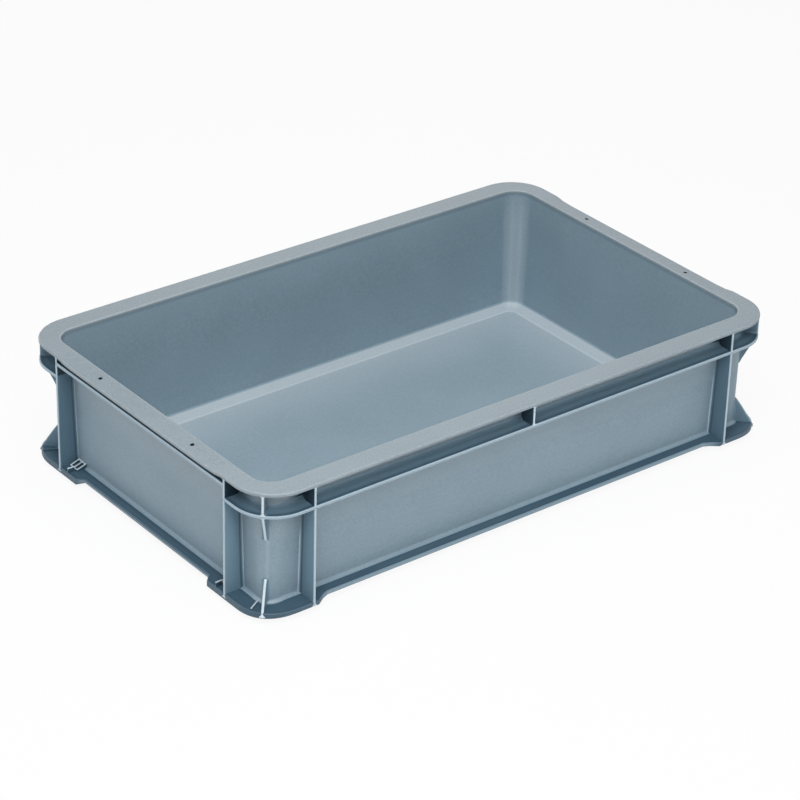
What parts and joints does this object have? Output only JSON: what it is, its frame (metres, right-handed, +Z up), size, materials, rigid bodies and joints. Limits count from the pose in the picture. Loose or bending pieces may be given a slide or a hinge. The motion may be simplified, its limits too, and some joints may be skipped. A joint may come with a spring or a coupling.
{
  "type": "storage crate",
  "caption": "Shallow rigid stacking crate with an open top, a flat flanged rim, upright outer fins, corner gussets and wide corner feet over a nesting floor.",
  "frame": {"origin": "middle of the underside, where the crate rests", "axes": "+X along the long sides, +Y towards the rear long side, +Z up out of the open top"},
  "size_m": [0.6, 0.384, 0.1305],
  "materials": {
    "grey_blue_plastic": "moulded grey-blue polypropylene with a fine matte grain"
  },
  "bodies": {
    "root": {"base_flange_front": "grey_blue_plastic", "base_flange_left": "grey_blue_plastic", "base_flange_rear": "grey_blue_plastic", "base_flange_right": "grey_blue_plastic", "corner_foot_front_left": "grey_blue_plastic", "corner_foot_front_right": "grey_blue_plastic", "corner_foot_rear_left": "grey_blue_plastic", "corner_foot_rear_right": "grey_blue_plastic", "corner_rib_front_left": "grey_blue_plastic", "corner_rib_front_right": "grey_blue_plastic", "corner_rib_rear_left": "grey_blue_plastic", "corner_rib_rear_right": "grey_blue_plastic", "corner_wall_front_left": "grey_blue_plastic", "corner_wall_front_right": "grey_blue_plastic", "corner_wall_rear_left": "grey_blue_plastic", "corner_wall_rear_right": "grey_blue_plastic", "corner_web_front_left": "grey_blue_plastic", "corner_web_front_right": "grey_blue_plastic", "corner_web_rear_left": "grey_blue_plastic", "corner_web_rear_right": "grey_blue_plastic", "floor_border": "grey_blue_plastic", "floor_pan": "grey_blue_plastic", "foot_lug_front_left": "grey_blue_plastic", "foot_lug_front_right": "grey_blue_plastic", "foot_lug_rear_left": "grey_blue_plastic", "foot_lug_rear_right": "grey_blue_plastic", "grip_rib_left": "grey_blue_plastic", "grip_rib_right": "grey_blue_plastic", "long_fin_front_left": "grey_blue_plastic", "long_fin_front_right": "grey_blue_plastic", "long_fin_rear_left": "grey_blue_plastic", "long_fin_rear_right": "grey_blue_plastic", "long_wall_front": "grey_blue_plastic", "long_wall_rear": "grey_blue_plastic", "lower_gusset_front_left": "grey_blue_plastic", "lower_gusset_front_right": "grey_blue_plastic", "lower_gusset_rear_left": "grey_blue_plastic", "lower_gusset_rear_right": "grey_blue_plastic", "mid_web_front": "grey_blue_plastic", "mid_web_rear": "grey_blue_plastic", "rim_corner_front_left": "grey_blue_plastic", "rim_corner_front_right": "grey_blue_plastic", "rim_corner_rear_left": "grey_blue_plastic", "rim_corner_rear_right": "grey_blue_plastic", "rim_front": "grey_blue_plastic", "rim_left": "grey_blue_plastic", "rim_rear": "grey_blue_plastic", "rim_right": "grey_blue_plastic", "short_fin_front_left": "grey_blue_plastic", "short_fin_front_right": "grey_blue_plastic", "short_fin_rear_left": "grey_blue_plastic", "short_fin_rear_right": "grey_blue_plastic", "short_wall_left": "grey_blue_plastic", "short_wall_right": "grey_blue_plastic", "side_rib_front": "grey_blue_plastic", "side_rib_rear": "grey_blue_plastic", "upper_gusset_front_left": "grey_blue_plastic", "upper_gusset_front_right": "grey_blue_plastic", "upper_gusset_rear_left": "grey_blue_plastic", "upper_gusset_rear_right": "grey_blue_plastic"}
  },
  "joints": []
}
